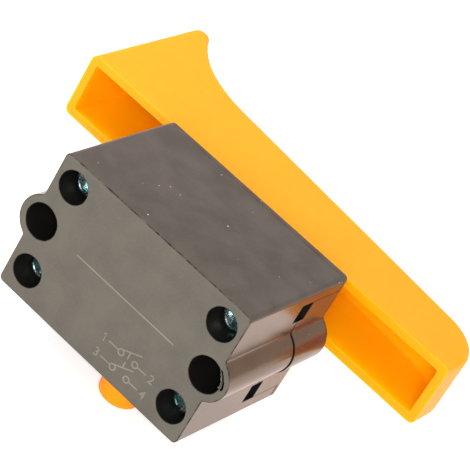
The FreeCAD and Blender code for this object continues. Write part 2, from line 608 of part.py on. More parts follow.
# Rocker: a bent see-saw plate with hinge lugs, shown with its contact end swung away from the fixed contact.
upper_rocker = new_body("upper_rocker")
add(upper_rocker, "plate", "YZ", "rocker_left", "rocker_right", outline(
    ("hinge_y + rocker_rear", "hinge_height - sheet_half"),
    ("hinge_y + rocker_rear", "hinge_height + sheet_half"),
    ("hinge_y - apex_shift", "hinge_height + sheet_half"),
    ("hinge_y - rocker_front * swing_cos - sheet_half * swing_sin",
     "hinge_height - rocker_front * swing_sin + sheet_half * swing_cos"),
    ("hinge_y - rocker_front * swing_cos + sheet_half * swing_sin",
     "hinge_height - rocker_front * swing_sin - sheet_half * swing_cos"),
    ("hinge_y + apex_shift", "hinge_height - sheet_half")))
add(upper_rocker, "lugs", "YZ", "lug_left", "lug_right", circle("hinge_y", "hinge_height", "lug_radius"))

upper_moving = cylinder("upper_moving_contact", "contact / 2", "contact_height", "-pole_offset",
                        "hinge_y - contact_arm * swing_cos - sheet_half * swing_sin",
                        "hinge_height - contact_arm * swing_sin + sheet_half * swing_cos")
upper_moving.Placement.Rotation = FreeCAD.Rotation(FreeCAD.Vector(1, 0, 0), 1)
bind(upper_moving, "Placement.Rotation.Angle", "rocker_swing")

# Pivot terminal: strip from the clamp cage to two ears, whose notches hold the rocker's lugs.
upper_pivot = new_body("upper_pivot_terminal")
add(upper_pivot, "strip", "XY", "strip_inner", "inner_width",
    rectangle("-strip_turn_x", "left_ear_outer", "min(tail_front; ear_front)", "max(slot_back; ear_back)"))
add(upper_pivot, "bridge", "XY", "strip_inner", "inner_width",
    rectangle("left_ear_outer", "right_ear_outer", "ear_front", "ear_back"))
add(upper_pivot, "tail", "XZ", "tail_front", "slot_back", outline(
    ("-tail_outer_x", "tail_low"), ("left_ear_outer", "tail_low"), ("left_ear_outer", "inner_width"),
    ("-strip_turn_x", "inner_width"), ("-strip_turn_x", "tail_high"), ("-tail_outer_x", "tail_high")))
add(upper_pivot, "left_ear", "YZ", "left_ear_outer", "left_ear_inner",
    rectangle("ear_front", "ear_back", "ear_end", "inner_width"))
add(upper_pivot, "right_ear", "YZ", "right_ear_inner", "right_ear_outer",
    rectangle("ear_front", "ear_back", "ear_end", "inner_width"))
cut(upper_pivot, "notches", "YZ", "left_ear_outer", "right_ear_outer",
    circle("hinge_y", "hinge_height", "ear_notch"))
cut(upper_pivot, "notch_mouths", "YZ", "left_ear_outer", "right_ear_outer",
    rectangle("hinge_y - ear_notch", "hinge_y + ear_notch", "ear_end", "hinge_height"))

# Fixed terminal: strip from the clamp cage across the box, stepped down to carry the fixed contact.
upper_fixed = new_body("upper_fixed_terminal")
add(upper_fixed, "landing", "XZ", "landing_front", "landing_back", outline(
    ("rocker_left", "landing"), ("riser_right", "landing"), ("riser_right", "inner_width"),
    ("riser_left", "inner_width"), ("riser_left", "landing + strip"), ("rocker_left", "landing + strip")))
add(upper_fixed, "run", "XY", "strip_inner", "inner_width",
    rectangle("riser_right", "strip_turn_x", "run_front", "landing_back"))
add(upper_fixed, "leg", "XY", "strip_inner", "inner_width",
    rectangle("fixed_turn_x", "strip_turn_x", "leg_front", "leg_back"))
add(upper_fixed, "tail", "XZ", "tail_front", "slot_back", outline(
    ("fixed_turn_x", "tail_low"), ("tail_outer_x", "tail_low"), ("tail_outer_x", "tail_high"),
    ("strip_turn_x", "tail_high"), ("strip_turn_x", "inner_width"), ("fixed_turn_x", "inner_width")))
upper_contact = cylinder("upper_fixed_contact", "contact / 2", "contact_height", "-pole_offset", "contact_y",
                         "contact_face")

# Clamp cage and screw: the screw presses the wire onto the terminal's tail inside the cage.
cage = new_body("cage")
add(cage, "block", "XZ", "well_depth", "cage_back",
    rectangle("cage_inner_x", "cage_outer_x", "terminal_z - cage_half", "terminal_z + cage_half"))
cut(cage, "wire_space", "YZ", "cage_inner_x", "cage_outer_x",
    rectangle("slot_front", "slot_back", "terminal_z - wire_half", "terminal_z + wire_half"))
cut(cage, "thread", "XZ", "well_depth", "slot_front",
    circle("terminal_x", "terminal_z", "screw_shank / 2 + fit_gap"))

screw = new_body("screw")
add(screw, "shank", "XZ", "screw_sink", "slot_front + screw_bite",
    circle("terminal_x", "terminal_z", "screw_shank / 2"))
add(screw, "head", "XZ", "screw_sink", "screw_sink + screw_head_height",
    circle("terminal_x", "terminal_z", "screw_head / 2"))
cut(screw, "slot", "XZ", "screw_sink", "screw_sink + driver_slot",
    rectangle("terminal_x - screw_head / 2", "terminal_x + screw_head / 2", "terminal_z - driver_slot / 2",
              "terminal_z + driver_slot / 2"))

# Lock button: pressed with the trigger pulled, its hook passes the slide's keyhole and holds the slide back.
lock_button = new_body("lock_button")
add(lock_button, "button", "XY", "-lock_end", "-inner_width", circle("lock_x", "lock_y", "lock_radius"))
trim_edges(lock_button, "Chamfer", "lock_chamfer", lambda edge: near(edge.BoundBox.ZMax, "lock_end"))
add(lock_button, "collar", "XY", "-inner_width", "-collar_top", circle("lock_x", "lock_y", "collar_radius"))
add(lock_button, "neck", "XY", "-collar_top", "-head_top", circle("lock_x", "lock_y", "neck_radius"))
add(lock_button, "hook", "XY", "-head_base", "-head_top", circle("lock_x", "lock_y", "head_radius"))
lock_spring = coil_spring(
    "lock_spring", "lock_coil", "lock_wire", "lock_turns", size("collar_top") - size("fork_base"),
    (size("lock_x"), size("lock_y"), -size("collar_top")), FreeCAD.Rotation())

# The lower pole is the upper one turned over.
pieces = [cover, base, trigger, slide, stem_pin, return_spring, lock_button, lock_spring,
          in_four_corners(cage, "clamp_cages"), in_four_corners(screw, "terminal_screws")]
upper_pole = [upper_pin, upper_pin_spring, upper_rocker, upper_moving, upper_pivot, upper_fixed]
upper_pole += [upper_contact]
for upper in upper_pole:
    pieces += [upper, mirrored(upper, upper.Label.replace("upper", "lower"), FreeCAD.Vector(0, 0, 1))]
doc.recompute()

for thing in doc.Objects:
    if "Invalid" in thing.State or "Error" in thing.State:
        raise RuntimeError(f"{thing.Label} did not build")
os.makedirs("parts", exist_ok=True)
for piece in pieces:
    if piece.Shape.isNull() or not piece.Shape.isValid():
        raise RuntimeError(f"{piece.Label} is not a valid solid")
    piece.Shape.exportStep(f"parts/{piece.Label}.step")
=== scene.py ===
import json
import math

import bmesh
import bpy
from mathutils import Matrix, Vector

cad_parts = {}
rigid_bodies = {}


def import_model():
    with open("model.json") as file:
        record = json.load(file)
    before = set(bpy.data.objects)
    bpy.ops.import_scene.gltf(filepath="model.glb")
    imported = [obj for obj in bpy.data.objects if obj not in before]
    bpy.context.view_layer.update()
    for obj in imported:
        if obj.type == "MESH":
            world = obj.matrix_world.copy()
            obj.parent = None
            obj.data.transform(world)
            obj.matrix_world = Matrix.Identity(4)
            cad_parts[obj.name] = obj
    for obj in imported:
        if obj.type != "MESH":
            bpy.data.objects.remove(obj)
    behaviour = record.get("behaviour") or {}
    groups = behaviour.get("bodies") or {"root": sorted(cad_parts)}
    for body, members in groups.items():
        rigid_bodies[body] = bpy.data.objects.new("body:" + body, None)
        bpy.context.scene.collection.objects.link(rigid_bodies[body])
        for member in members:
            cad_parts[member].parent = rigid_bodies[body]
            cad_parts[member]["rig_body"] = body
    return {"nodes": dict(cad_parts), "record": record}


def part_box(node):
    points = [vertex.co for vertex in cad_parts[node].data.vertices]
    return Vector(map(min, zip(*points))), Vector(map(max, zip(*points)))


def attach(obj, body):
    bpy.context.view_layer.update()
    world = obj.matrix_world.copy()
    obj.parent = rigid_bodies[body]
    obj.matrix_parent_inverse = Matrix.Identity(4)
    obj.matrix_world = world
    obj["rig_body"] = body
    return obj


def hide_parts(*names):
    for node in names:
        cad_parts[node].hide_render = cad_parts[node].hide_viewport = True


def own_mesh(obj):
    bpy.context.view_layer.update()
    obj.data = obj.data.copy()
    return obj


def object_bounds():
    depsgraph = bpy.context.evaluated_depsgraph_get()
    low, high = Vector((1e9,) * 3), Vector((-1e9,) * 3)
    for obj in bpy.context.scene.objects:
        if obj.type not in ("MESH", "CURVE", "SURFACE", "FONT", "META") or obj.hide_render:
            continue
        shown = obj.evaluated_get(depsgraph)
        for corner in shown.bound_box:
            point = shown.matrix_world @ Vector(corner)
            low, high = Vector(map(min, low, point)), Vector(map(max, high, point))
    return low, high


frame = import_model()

cad_low, cad_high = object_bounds()
nodes = frame["nodes"]
mounts = {mount["name"]: mount for mount in frame["record"]["mounts"]}

# Front cover: the deep half of the switch box, with the label face, the long walls, a well over each
# terminal screw and the front half of each mounting boss.
# Warm grey glass-filled nylon, injection moulded in one piece, which the base closes from behind.
MM = 0.001
CORNERS = [(end, side) for end in (1, -1) for side in (1, -1)]
cover_low, cover_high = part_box("front_cover")
base_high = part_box("base")[1]
screws_low, screws_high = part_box("terminal_screws")
cages_low, cages_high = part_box("clamp_cages")
button_low, button_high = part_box("lock_button")
half_length, seam_y, terminal_z = mounts["terminal_2"]["pos_m"]
bore_x = mounts["right_mounting_bore"]["pos_m"][0]
bore_radius = mounts["right_mounting_bore"]["dims"]["r_mm"] * MM
upper_side = cover_high.z
lower_side = -cover_low.z
boss_radius = cover_high.x - bore_x
boss_fillet = 0.9 * MM
corner_radius = 1.0 * MM
head_radius = screws_high.z - terminal_z
head_room = 0.2 * MM
terminal_x = screws_high.x - head_radius
well_radius = head_radius + head_room
tube_wall = 1.0 * MM
button_x = (button_low.x + button_high.x) / 2
button_y = (button_low.y + button_high.y) / 2
button_radius = 4.05 * MM
label_edge = 0.18 * MM
label_wall = 2.0 * MM
side_wall = 1.6 * MM
panel_half = 11.55 * MM
slot_half = 1.8 * MM
slot_inner = 7.4 * MM
guide_half = 1.0 * MM
guide_start = 10.5 * MM
spigot_radius = 1.6 * MM
spigot_end = 5.0 * MM
mark_height = 0.07 * MM
close_gap = 0.03 * MM
seam_gap = 0.14 * MM
back_band = 0.65 * MM
outside = 10.0 * MM
back_edge = base_high.y - back_band
label_y = cover_low.y + mark_height
inner_length = half_length - side_wall
inner_width = upper_side - side_wall
ARC_STEP = 5.0


def arc(x, y, radius, start, end):
    """Points of an arc from one angle to another, in degrees, about ARC_STEP apart."""
    steps = max(2, round(abs(end - start) / ARC_STEP))
    turns = [math.radians(start + (end - start) * i / steps) for i in range(steps + 1)]
    return [(x + radius * math.cos(turn), y + radius * math.sin(turn)) for turn in turns]


def ring(x, y, radius):
    """Points of a full circle."""
    return arc(x, y, radius, 0, 360)[:-1]


def left_half(points):
    """An outline's left half, the right one seen in a mirror."""
    return [(-x, z) for x, z in reversed(points)]


def boss_bulge(radius):
    """The right boss from below to above, faired into the end wall by a fillet on each side."""
    reach = radius + boss_fillet
    fillet_x = half_length + boss_fillet
    lean = math.degrees(math.acos((fillet_x - bore_x) / reach))
    fillet_z = reach * math.sin(math.radians(lean))
    return [*arc(fillet_x, -fillet_z, boss_fillet, 180, 180 - lean), *arc(bore_x, 0, radius, -lean, lean),
            *arc(fillet_x, fillet_z, boss_fillet, 180 + lean, 180)]


def box_outline(radius):
    """The box seen from the label face, with its rounded corners and a boss of this radius at each end."""
    corner_x = half_length - corner_radius
    right = [*arc(corner_x, corner_radius - lower_side, corner_radius, -90, 0), *boss_bulge(radius),
             *arc(corner_x, upper_side - corner_radius, corner_radius, 0, 90)]
    return right + left_half(right)


def add_line(curve, points, closed=True):
    """Adds straight runs from point to point to a curve."""
    line = curve.splines.new("POLY")
    line.points.add(len(points) - 1)
    for knot, (x, y, z) in zip(line.points, points):
        knot.co = (x, y, z, 1.0)
    line.use_cyclic_u = closed


def curve_mesh(curve):
    """The mesh that a curve makes."""
    carrier = bpy.data.objects.new("carrier", curve)
    mesh = bpy.data.meshes.new_from_object(carrier)
    bpy.data.objects.remove(carrier)
    return mesh


def shape_mesh(shape):
    """The mesh of a bmesh, which is freed."""
    mesh = bpy.data.meshes.new("shape")
    shape.to_mesh(mesh)
    shape.free()
    return mesh


CURVE_STEPS = 2
# Points of an outline, and vertices of a plate, that are nearer to each other than this are one.
SAME_POINT = 0.001 * MM
SAME_VERTEX = 0.0001 * MM
STAND_UP = Matrix.Rotation(math.pi / 2, 4, "X")


def plate(loops, low, high, edge, upright=False):
    """A plate between two heights with rounded edges, its first loop the outline and the others holes.

    It lies in X and Y, or, if upright, stands in X and Z with its heights along Y."""
    flat = bpy.data.curves.new("outline", "CURVE")
    flat.dimensions = "2D"
    flat.fill_mode = "BOTH"
    flat.bevel_depth = edge
    flat.bevel_resolution = CURVE_STEPS
    flat.offset = -edge
    flat.extrude = (high - low) / 2 - edge
    for loop in loops:
        apart = [p for i, p in enumerate(loop) if math.dist(p, loop[i - 1]) > SAME_POINT]
        add_line(flat, [(x, y, 0.0) for x, y in apart])
    mesh = curve_mesh(flat)
    middle = (low + high) / 2
    if upright:
        mesh.transform(Matrix.Translation((0, middle, 0)) @ STAND_UP)
    else:
        mesh.transform(Matrix.Translation((0, 0, middle)))
    shape = bmesh.new()
    shape.from_mesh(mesh)
    bmesh.ops.remove_doubles(shape, verts=shape.verts, dist=SAME_VERTEX)
    return shape_mesh(shape)


EDGE_STEPS = 3


def block(low, high, edge=0.0):
    """A box between two corners, its edges rounded where edge is given."""
    low, high = Vector(low), Vector(high)
    shape = bmesh.new()
    place = Matrix.LocRotScale((low + high) / 2, None, high - low)
    bmesh.ops.create_cube(shape, size=1.0, matrix=place)
    if edge:
        bmesh.ops.bevel(shape, geom=shape.edges, offset=edge, affect="EDGES", segments=EDGE_STEPS,
                        profile=0.5, material=-1)
    return shape_mesh(shape)


ROUND_STEPS = 72


def drum(centre, radius, low, high, axis="Y"):
    """A cylinder along Y or Z, centred on X and the third axis."""
    across, middle = centre[1], (low + high) / 2
    if axis == "Y":
        place = Matrix.Translation((centre[0], middle, across)) @ STAND_UP
    else:
        place = Matrix.Translation((centre[0], across, middle))
    shape = bmesh.new()
    bmesh.ops.create_cone(shape, cap_ends=True, segments=ROUND_STEPS, radius1=radius, radius2=radius,
                          depth=high - low, matrix=place)
    return shape_mesh(shape)


def combine(mesh, operation, others):
    """The mesh with others cut away from it or joined to it, one after another."""
    for other in others:
        worked = bpy.data.objects.new("worked", mesh)
        tool = bpy.data.objects.new("tool", other)
        for thing in (worked, tool):
            bpy.context.scene.collection.objects.link(thing)
        step = worked.modifiers.new("step", "BOOLEAN")
        step.operation = operation
        step.object = tool
        step.solver = "EXACT"
        graph = bpy.context.evaluated_depsgraph_get()
        mesh = bpy.data.meshes.new_from_object(worked.evaluated_get(graph))
        bpy.data.objects.remove(worked)
        bpy.data.objects.remove(tool)
    return mesh


SMOOTH_ANGLE = math.radians(40)
BEVEL_ANGLE = math.radians(50)


def dress(name, mesh, finishes, body, slot, *replaced, edge=0.0):
    """Makes a piece of a mesh, smooth where it is round, on its body and with the nodes it stands for."""
    mesh.materials.clear()
    for finish in finishes:
        mesh.materials.append(finish)
    mesh.shade_smooth()
    mesh.set_sharp_from_angle(angle=SMOOTH_ANGLE)
    thing = bpy.data.objects.new(name, mesh)
    bpy.context.scene.collection.objects.link(thing)
    if edge:
        rounded = thing.modifiers.new("rounded", "BEVEL")
        rounded.width = edge
        rounded.segments = EDGE_STEPS
        rounded.limit_method = "ANGLE"
        rounded.angle_limit = BEVEL_ANGLE
    flat_faces = thing.modifiers.new("flat_faces", "WEIGHTED_NORMAL")
    flat_faces.keep_sharp = True
    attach(thing, body)
    if replaced:
        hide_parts(*replaced)
    return thing


def linear(code):
    """An sRGB hex colour as linear red, green and blue, with alpha."""
    shares = [int(code[i:i + 2], 16) / 255 for i in (1, 3, 5)]
    return (*[c / 12.92 if c <= 0.04045 else ((c + 0.055) / 1.055) ** 2.4 for c in shares], 1.0)


def scale_of(size):
    """The scale of a pattern whose features are this far apart."""
    return 1.0 / size


def feed(node, inputs):
    """Sets a node's inputs, or links them where the value is another node's output."""
    for socket, value in inputs.items():
        if isinstance(value, bpy.types.NodeSocket):
            node.id_data.links.new(value, node.inputs[socket])
        else:
            node.inputs[socket].default_value = value


def add_node(tree, kind, inputs, output=None, **settings):
    """Adds a shader node with its settings and inputs, and gives the named output, or else the node."""
    made = tree.nodes.new("ShaderNode" + kind)
    for name, value in settings.items():
        setattr(made, name, value)
    feed(made, inputs)
    return made if output is None else made.outputs[output]


def new_finish(name):
    """An empty material with its node tree and shader."""
    finish = bpy.data.materials.new(name)
    finish.use_nodes = True
    return finish, finish.node_tree, finish.node_tree.nodes["Principled BSDF"]


# A Mix node's sockets for numbers and for colours have the same names, so they go by their places.
SHARE, NUMBER_A, NUMBER_B, COLOUR_A, COLOUR_B = 0, 2, 3, 6, 7
MIXED_NUMBER, MIXED_COLOUR = 0, 2

# Patterns of the nylon: flow clouds, specks of dust, and the mould's grain, which is several times finer in
# life and is drawn coarser so that it shows.
flow_size = 6.0 * MM
dust_spacing = 2.4 * MM
grain_size = 0.3 * MM
grain_share = 0.3
grain_depth = 0.02 * MM
speck_reach = 0.045
dust_tone = "#C9C5BE"


def moulded_nylon(name, tone, pale, rough, dust, ior, tint="#FFD8B6", cloud=flow_size):
    """Glass-filled nylon from the mould: a cloudy grey with a fine grain, a soft sheen and specks of dust.

    Its clouds run from tone to pale, rough is its least and most roughness, and dust is its specks' size."""
    finish, tree, shader = new_finish(name)
    place = add_node(tree, "TexCoord", {}, "Object")
    clouds = add_node(tree, "TexNoise", {"Vector": place, "Scale": scale_of(cloud), "Detail": 5.0}, "Fac")
    grain = add_node(tree, "TexNoise", {"Vector": place, "Scale": scale_of(grain_size), "Detail": 2.0}, "Fac")
    mixed = add_node(tree, "Mix", {SHARE: grain_share, NUMBER_A: clouds, NUMBER_B: grain}, MIXED_NUMBER)
    cloudy = add_node(tree, "MapRange", {"Value": mixed, "From Min": 0.38, "From Max": 0.62}, "Result")
    tones = add_node(tree, "Mix", {SHARE: cloudy, COLOUR_A: linear(tone), COLOUR_B: linear(pale)},
                     MIXED_COLOUR, data_type="RGBA")
    cells = add_node(tree, "TexVoronoi", {"Vector": place, "Scale": scale_of(dust_spacing)})
    near = add_node(tree, "Math", {0: cells.outputs["Distance"], 1: speck_reach * dust}, "Value",
                    operation="LESS_THAN")
    few = add_node(tree, "MapRange", {"Value": cells.outputs["Color"], "From Min": 0.5, "From Max": 0.8},
                   "Result")
    speck = add_node(tree, "Math", {0: near, 1: few}, "Value", operation="MULTIPLY")
    dusted = add_node(tree, "Mix", {SHARE: speck, COLOUR_A: tones, COLOUR_B: linear(dust_tone)},
                      MIXED_COLOUR, data_type="RGBA")
    sheen = add_node(tree, "MapRange", {"Value": clouds, "From Min": 0.3, "From Max": 0.7,
                                        "To Min": rough[0], "To Max": rough[1]}, "Result")
    bump = add_node(tree, "Bump", {"Height": grain, "Strength": 0.2, "Distance": grain_depth}, "Normal")
    feed(shader, {"Base Color": dusted, "Roughness": sheen, "Normal": bump, "IOR": ior,
                  "Specular Tint": linear(tint)})
    return finish


# The long walls: an even warm grey with a soft sheen and the most dust.
satin_nylon = moulded_nylon("satin_nylon", "#3B3530", "#4D4641", (0.3, 0.4), dust=1.3, ior=1.55)
# The label face: spark eroded in the mould, so it is paler and dull.
matt_nylon = moulded_nylon("matt_nylon", "#4C4842", "#58544C", (0.5, 0.65), dust=0.6, ior=1.5, tint="#FFEAD4")
# Wells, bores, shut lines, the top of the back edge and the inside: painted shade, the same nylon drawn
# almost black, with hardly any sheen.
dark_nylon = moulded_nylon("dark_nylon", "#131211", "#181716", (0.4, 0.5), dust=0.0, ior=1.12)
# The ends and the back edge: polished in the mould, so they mirror the floor and the trigger; their brown
# tone and orange specular tint are painted warm reflection of the trigger.
polished_nylon = moulded_nylon("polished_nylon", "#44342B", "#4E3E35", (0.16, 0.24), dust=0.9, ior=1.8,
                               tint="#FFC080")
# The label's edge: a fine dark line of painted shade, rubbed paler here and there by wear.
edge_nylon = moulded_nylon("edge_nylon", "#1C1917", "#57534B", (0.6, 0.7), dust=0.0, ior=1.3,
                           cloud=1.5 * MM)
HOUSING_FINISHES = [satin_nylon, matt_nylon, dark_nylon, polished_nylon, edge_nylon]
SATIN, MATT, PAINTED_SHADE, POLISHED, EDGE = range(len(HOUSING_FINISHES))
bores = [(end * bore_x, 0.0, bore_radius) for end in (1, -1)]
well_holes = [(end * terminal_x, side * terminal_z, well_radius) for end, side in CORNERS]

# Shares of a face's normal along an axis: the most for a hole's wall, half way, the least for the flat front
# and for its rounded edge, and the two that the rounded back edge lies between.
HOLE_WALL = 0.8
HALF_WAY = 0.5
FLAT_FRONT = 0.99
FRONT_EDGE = 0.05
BACK_EDGE = (0.02, 0.98)


def mark_faces(thing, holes, rim, rim_finish):
    """Gives each face its finish, as part of a hole, the label, the front rim, the back edge, an end, the
    inside or a long wall."""
    for face in thing.data.polygons:
        middle, facing = face.center, face.normal
        in_hole = any(math.hypot(middle.x - x, middle.z - z) < radius for x, z, radius in holes)
        at_end = abs(middle.x) > half_length - close_gap
        at_side = abs(middle.z) > inner_width + close_gap
        at_back = BACK_EDGE[0] < facing.y < BACK_EDGE[1] and middle.y > back_edge
        # Hole walls, their rounded mouths and the crack take painted shade.
        if in_hole and abs(facing.y) < HOLE_WALL:
            face.material_index = PAINTED_SHADE
        elif facing.y < -FLAT_FRONT and middle.y < label_y + label_edge:
            face.material_index = MATT
        elif facing.y < -FRONT_EDGE and middle.y < rim:
            face.material_index = rim_finish
        # The top of the rounded back edge takes painted shade, as a dark line.
        elif at_back and facing.z > HALF_WAY:
            face.material_index = PAINTED_SHADE
        # The ends and the back edge take the finish with painted warm reflection.
        elif at_back or at_end and facing.y > -HALF_WAY:
            face.material_index = POLISHED
        # The inside of the cover takes painted shade.
        elif not at_side and label_y + close_gap < middle.y < cover_high.y + seam_gap:
            face.material_index = PAINTED_SHADE
        else:
            face.material_index = SATIN


tubes = [drum((x, z), well_radius + tube_wall, cover_low.y, cages_low.y) for x, z, radius in well_holes]
inner_bosses = [drum((x, z), boss_radius, cover_low.y, seam_y) for x, z, radius in bores]
guides = [block((min(end * guide_start, end * bore_x), cover_low.y, -guide_half),
                (max(end * guide_start, end * bore_x), seam_y, guide_half)) for end in (1, -1)]
spigot = drum((0, 0), spigot_radius, cover_low.y, spigot_end)
cavity = block((-inner_length, label_y + label_wall, -inner_width), (inner_length, base_high.y, inner_width))
cavity = combine(cavity, "DIFFERENCE", [*tubes, *inner_bosses, *guides, spigot])
past_end = half_length + outside
end_window = block((-past_end, seam_y, -panel_half), (past_end, base_high.y, panel_half))
wire_slots = [block((-past_end, seam_y - slot_half, low), (past_end, seam_y + slot_half, high))
              for low, high in ((slot_inner, panel_half), (-panel_half, -slot_inner))]
button_hole = drum((button_x, button_y), button_radius + close_gap, -lower_side - outside,
                   close_gap - inner_width, "Z")
cover_loops = [box_outline(boss_radius), *[ring(*hole) for hole in bores + well_holes]]
cover_mesh = plate(cover_loops, label_y, cover_high.y, label_edge, upright=True)
cover_mesh = combine(cover_mesh, "DIFFERENCE", [cavity, end_window, *wire_slots, button_hole])

# The right bore's rim is torn: a thin skin of flash stands into the bore, and a crack runs behind it.
torn_start = 55
torn_end = -5
torn_steps = 60
tear_waves = ((9, 0.5), (23, 0.3), (41, 0.2))
crack_inner = (3.36 * MM, 3.6 * MM)
crack_outer = (3.6 * MM, 4.05 * MM)
crack_tear = 0.12 * MM
crack_depth = 0.6 * MM
flash_inner = 3.1 * MM
flash_tear = 0.15 * MM
flash_depth = 0.1 * MM
flash_sheet = 0.2 * MM


def torn_arc(first, last, tear):
    """A ragged arc about the right bore, from one radius to another over the torn stretch of its rim."""
    points = []
    for i in range(torn_steps + 1):
        turn = math.radians(torn_start + (torn_end - torn_start) * i / torn_steps)
        ragged = tear * sum(part * math.sin(waves * turn) for waves, part in tear_waves)
        radius = first + (last - first) * i / torn_steps + ragged
        points.append((bore_x + radius * math.cos(turn), radius * math.sin(turn)))
    return points


crack = torn_arc(*crack_inner, crack_tear / 2) + torn_arc(*crack_outer, crack_tear)[::-1]
flash = torn_arc(flash_inner, flash_inner, flash_tear) + torn_arc(*crack_inner, 0.0)[::-1]
crack_cut = plate([crack], cover_low.y - outside, label_y + crack_depth, 0.0, upright=True)
flash_front = label_y + flash_depth
flash_skin = plate([flash], flash_front, flash_front + flash_sheet, 0.0, upright=True)
cover_mesh = combine(cover_mesh, "UNION", [flash_skin])
cover_mesh = combine(cover_mesh, "DIFFERENCE", [crack_cut])
cover_shell = dress("cover_shell", cover_mesh, HOUSING_FINISHES, "housing", "housing", "front_cover")
rims = [(x, z, radius + label_edge) for x, z, radius in bores + well_holes]
rims.append((bore_x, 0.0, crack_outer[1] + crack_tear))
mark_faces(cover_shell, rims, label_y + label_edge, EDGE)

# Label marks: the contact symbol, the terminal numbers and a dividing line, raised on the label face.
# Moulded with the cover, and paler because the raised edges are rubbed bright.
stroke_half = 0.15 * MM
pivot_x = 5.0 * MM
contact_x = 8.35 * MM
lead_left = 2.05 * MM
lead_right = 11.1 * MM
lever_foot = (5.14 * MM, 0.67 * MM)
lever_tip = (8.85 * MM, 2.3 * MM)
link_x = 6.62 * MM
links = ((-7.08 * MM, -8.55 * MM), (-9.2 * MM, -10.58 * MM))
eye_radius = 0.6 * MM
rows = (-8.4 * MM, -11.9 * MM)
number_size = 2.45 * MM
number_half = 0.86 * MM
number_left = 1.05 * MM
number_right = 12.3 * MM
number_edge = 0.3 * mark_height
flag_reach = 0.42 * MM
divider = (-11.0 * MM, 12.5 * MM)
rubbed_nylon = moulded_nylon("rubbed_nylon", "#6E695F", "#7B766B", (0.45, 0.6), dust=0.0, ior=1.5)


def strokes(lines):
    """Raised round strokes along lines in X and Z on the label face, each line open or closed."""
    drawn = bpy.data.curves.new("strokes", "CURVE")
    drawn.dimensions = "3D"
    drawn.bevel_depth = stroke_half
    drawn.bevel_resolution = CURVE_STEPS
    drawn.use_fill_caps = True
    for line, closed in lines:
        add_line(drawn, [(x, 0.0, z) for x, z in line], closed)
    mesh = curve_mesh(drawn)
    flattened = Matrix.Diagonal((1, mark_height / stroke_half, 1, 1))
    mesh.transform(Matrix.Translation((0, label_y, 0)) @ flattened)
    return mesh


def number_mesh(text, x, z):
    """A raised number, upright on the label face and centred on a point."""
    letters = bpy.data.curves.new("number", "FONT")
    letters.body = text
    letters.size = number_size
    letters.align_x = "CENTER"
    letters.align_y = "CENTER"
    letters.extrude = mark_height - number_edge
    letters.bevel_depth = number_edge
    mesh = curve_mesh(letters)
    mesh.transform(Matrix.Translation((x, label_y, z)) @ STAND_UP)
    return mesh


def joined(meshes):
    """One mesh of several."""
    shape = bmesh.new()
    for mesh in meshes:
        shape.from_mesh(mesh)
    return shape_mesh(shape)


symbol = [([(x, 0.0) for x in divider], False)]
for row in rows:
    symbol += [(ring(x, row, eye_radius), True) for x in (pivot_x, contact_x)]
    symbol.append(([(lead_left, row), (pivot_x - eye_radius, row)], False))
    symbol.append(([(contact_x + eye_radius, row), (lead_right, row)], False))
    symbol.append(([(x, row + rise) for x, rise in (lever_foot, lever_tip)], False))
for start, end in links:
    symbol.append(([(link_x, start), (link_x, end)], False))
one_top = rows[0] + number_half
symbol.append(([(number_left - flag_reach, one_top - flag_reach), (number_left, one_top),
                (number_left, rows[0] - number_half)], False))
numbers = [number_mesh(text, x, row) for text, x, row in (
    ("3", number_left, rows[1]), ("2", number_right, rows[0]), ("4", number_right, rows[1]))]
dress("label_marks", joined([strokes(symbol), *numbers]), [rubbed_nylon], "housing", "housing")

# Terminal screws: pan-head clamp screws with a slot and a cross, one down each well.
# Blue zinc plated steel, cold headed and rolled, screwed into the clamp cages.
head_height = 2.4 * MM
head_corner = 0.5 * MM
dish_depth = 0.15 * MM
dish_radius = 2.1 * MM
rim_radius = 2.24 * MM
recess_half = 0.45 * MM
slot_depth = 0.9 * MM
cross_depth = 1.26 * MM
cross_reach = 1.7 * MM
shank_radius = 1.75 * MM
shank_end = screws_high.y - screws_low.y
thread_pitch = 0.6 * MM
thread_depth = 0.3 * MM
plain_shank = 0.4 * MM
thread_start = head_height + plain_shank
thread_count = int((shank_end - thread_start) / thread_pitch)
screw_edge = 0.18 * MM
POINT_BACK = Matrix.Rotation(-math.pi / 2, 4, "X")
# Degrees that each screw is turned, by the end and the side of the box that it is on.
screw_turns = {(1, 1): 80.0, (1, -1): 100.0, (-1, 1): 8.0, (-1, -1): 345.0}
# Patterns of the plate: its film, and fine wear that is drawn coarser so that it shows.
film_size = 1.6 * MM
wear_size = 0.25 * MM
wear_depth = 0.05 * MM


def blue_zinc(name):
    """Blue zinc plate: bright metal whose thin film runs from teal to pale grey, with sparkling wear."""
    finish, tree, shader = new_finish(name)
    place = add_node(tree, "TexCoord", {}, "Object")
    film = add_node(tree, "TexNoise", {"Vector": place, "Scale": scale_of(film_size), "Detail": 3.0}, "Fac")
    spread = add_node(tree, "MapRange", {"Value": film, "From Min": 0.35, "From Max": 0.65}, "Result")
    tones = add_node(tree, "Mix", {SHARE: spread, COLOUR_A: linear("#5F9A9A"), COLOUR_B: linear("#D6E2E2")},
                     MIXED_COLOUR, data_type="RGBA")
    wear = add_node(tree, "TexNoise", {"Vector": place, "Scale": scale_of(wear_size), "Detail": 2.0}, "Fac")
    sheen = add_node(tree, "MapRange", {"Value": wear, "To Min": 0.08, "To Max": 0.5}, "Result")
    bump = add_node(tree, "Bump", {"Height": wear, "Strength": 0.6, "Distance": wear_depth}, "Normal")
    feed(shader, {"Base Color": tones, "Roughness": sheen, "Normal": bump, "Metallic": 1.0})
    return finish


